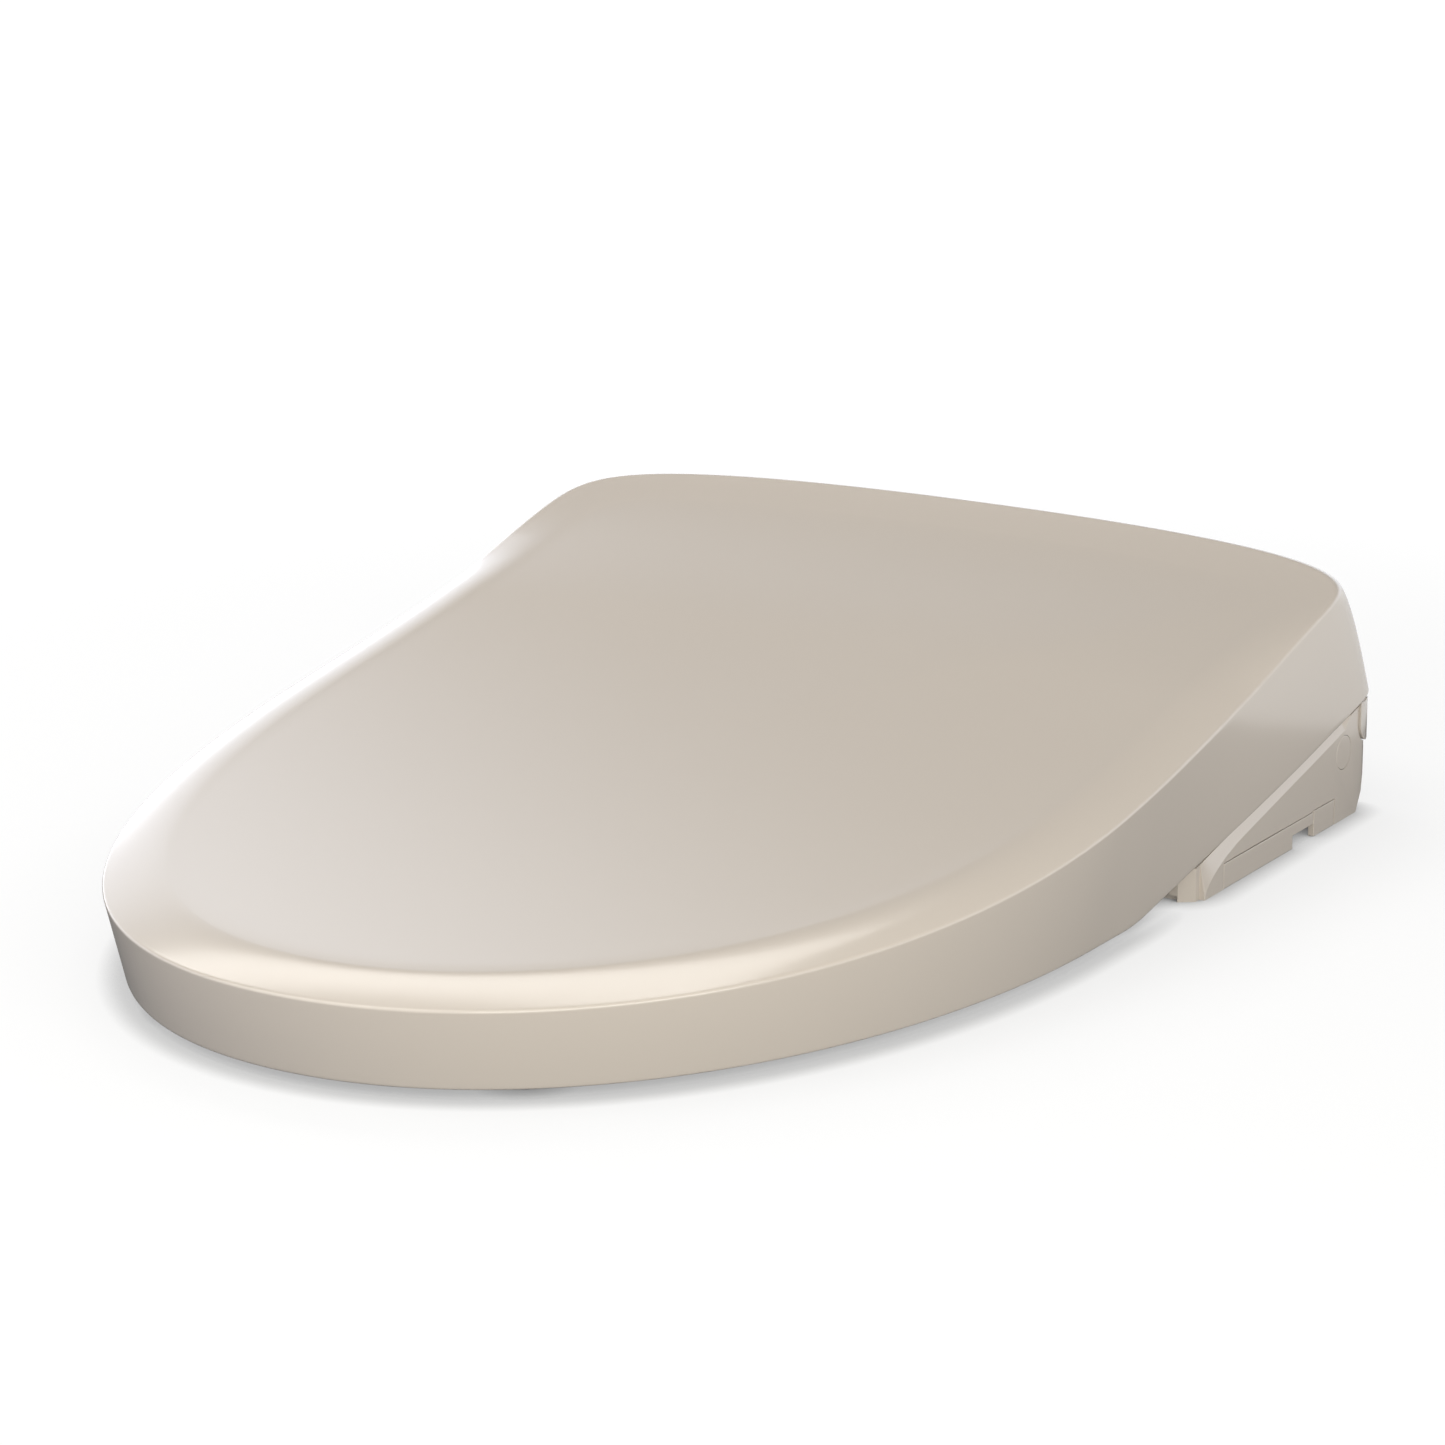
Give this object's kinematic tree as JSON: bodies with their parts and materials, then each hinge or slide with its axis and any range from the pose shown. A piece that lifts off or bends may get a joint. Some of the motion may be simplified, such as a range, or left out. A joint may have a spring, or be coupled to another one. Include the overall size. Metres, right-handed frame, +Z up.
{
  "type": "electric bidet seat",
  "caption": "Electric bidet seat: wedge-shaped soft-close lid over a heated seat, hinged on a rear casing with wash nozzle, water heater, warm-air dryer and deodorizer filter drawer.",
  "frame": {"origin": "midway between the two mounting slots, on the plane of the toilet's rim (underside of the bracket)", "axes": "+X right seen from the front, +Y to the rear (towards the cistern), +Z up"},
  "size_m": [0.38, 0.531, 0.1077],
  "materials": {
    "shell": "glossy warm light-grey ABS",
    "inner_plastic": "matt grey moulded plastic",
    "dark_plastic": "matt dark moulded plastic",
    "white_plastic": "smooth white plastic",
    "button_plastic": "satin grey plastic",
    "lens": "smoked translucent plastic",
    "rubber_light": "soft light-grey rubber",
    "rubber_dark": "matt black rubber",
    "steel": "fine brushed stainless steel",
    "brass": "machined brass",
    "heater_wire": "copper-coloured heating foil and strip",
    "board": "green circuit board",
    "carbon": "porous black carbon"
  },
  "bodies": {
    "base": {"base_tray": "inner_plastic", "case_cover": "shell", "side_cover_left": "shell", "side_cover_right": "shell", "side_strip_left": "shell", "screw_caps": "shell", "case_screws": "steel", "side_screws": "steel", "base_feet": "rubber_dark", "mounting_bracket": "dark_plastic", "deodorizer_housing": "inner_plastic", "hinge_pin": "steel", "lid_damper": "dark_plastic", "seat_damper": "dark_plastic", "nozzle_cradle": "inner_plastic", "nozzle_motor": "steel", "water_inlet": "brass", "inlet_filter": "white_plastic", "solenoid_valve": "dark_plastic", "flow_valve": "white_plastic", "water_heater": "inner_plastic", "heater_tube": "heater_wire", "air_pump": "dark_plastic", "dryer_housing": "inner_plastic", "dryer_motor": "steel", "dryer_heater": "heater_wire", "control_board": "board", "power_supply": "inner_plastic", "cord_gland": "dark_plastic", "button_board": "board", "indicator_lens": "lens"},
    "seat": {"seat_top": "shell", "seat_bottom": "inner_plastic", "seat_heater": "heater_wire", "seat_arm_left": "shell", "seat_arm_right": "shell", "arm_screws": "steel", "seat_bumpers": "rubber_light", "seat_shaft": "steel"},
    "lid": {"lid_shell": "shell", "lid_lug_left": "shell", "lid_lug_right": "shell", "lid_bumpers": "rubber_light", "lid_shaft": "steel"},
    "nozzle": {"nozzle_wand": "white_plastic", "nozzle_tip": "white_plastic", "nozzle_rack": "white_plastic"},
    "pinion": {"nozzle_pinion": "white_plastic"},
    "drawer": {"filter_drawer": "shell", "deodorizer_filter": "carbon"},
    "deodorizer_wheel": {"deodorizer_fan": "dark_plastic"},
    "release": {"release_button": "shell"},
    "dryer_wheel": {"dryer_impeller": "dark_plastic"},
    "flap": {"dryer_flap": "shell"},
    "stop_key": {"stop_button": "button_plastic"},
    "rear_wash_key": {"rear_wash_button": "button_plastic"},
    "front_wash_key": {"front_wash_button": "button_plastic"}
  },
  "joints": [
    {"name": "seat_hinge", "type": "hinge", "parent": "base", "child": "seat", "pos_m": [0, 0.041, 0.038], "axis": [-1, 0, 0], "range_deg": [0, 95]},
    {"name": "lid_hinge", "type": "hinge", "parent": "seat", "child": "lid", "pos_m": [0, 0.041, 0.038], "axis": [1, 0, 0], "range_deg": [-100, 0]},
    {"name": "nozzle_slide", "type": "slide", "parent": "base", "child": "nozzle", "axis": [0, -0.9848, -0.1736], "range_m": [0, 0.085]},
    {"name": "pinion_spin", "type": "hinge", "parent": "base", "child": "pinion", "pos_m": [0, -0.00886, 0.05096], "axis": [-1, 0, 0], "range_deg": [0, 820]},
    {"name": "filter_drawer_slide", "type": "slide", "parent": "base", "child": "drawer", "axis": [1, 0, 0], "range_m": [0, 0.058]},
    {"name": "release_press", "type": "slide", "parent": "base", "child": "release", "axis": [-1, 0, 0], "range_m": [0, 0.0055], "stiffness_N_per_m": 400},
    {"name": "deodorizer_fan_spin", "type": "hinge", "parent": "base", "child": "deodorizer_wheel", "pos_m": [0.122, -0.0634, 0.02], "axis": [0, 0, 1], "continuous": true},
    {"name": "dryer_impeller_spin", "type": "hinge", "parent": "base", "child": "dryer_wheel", "pos_m": [0.052, -0.07, 0.03], "axis": [0, 0, 1], "continuous": true},
    {"name": "dryer_flap_hinge", "type": "hinge", "parent": "base", "child": "flap", "pos_m": [0.041, -0.11675, 0.021], "axis": [-1, 0, 0], "range_deg": [0, 60]},
    {"name": "stop_press", "type": "slide", "parent": "base", "child": "stop_key", "axis": [1, 0, 0], "range_m": [0, 0.0015], "stiffness_N_per_m": 300},
    {"name": "rear_wash_press", "type": "slide", "parent": "base", "child": "rear_wash_key", "axis": [1, 0, 0], "range_m": [0, 0.0015], "stiffness_N_per_m": 300},
    {"name": "front_wash_press", "type": "slide", "parent": "base", "child": "front_wash_key", "axis": [1, 0, 0], "range_m": [0, 0.0015], "stiffness_N_per_m": 300}
  ],
  "couplings": [
    {"joint": "pinion_spin", "follows": "nozzle_slide", "rad_per_m": 166.67}
  ]
}
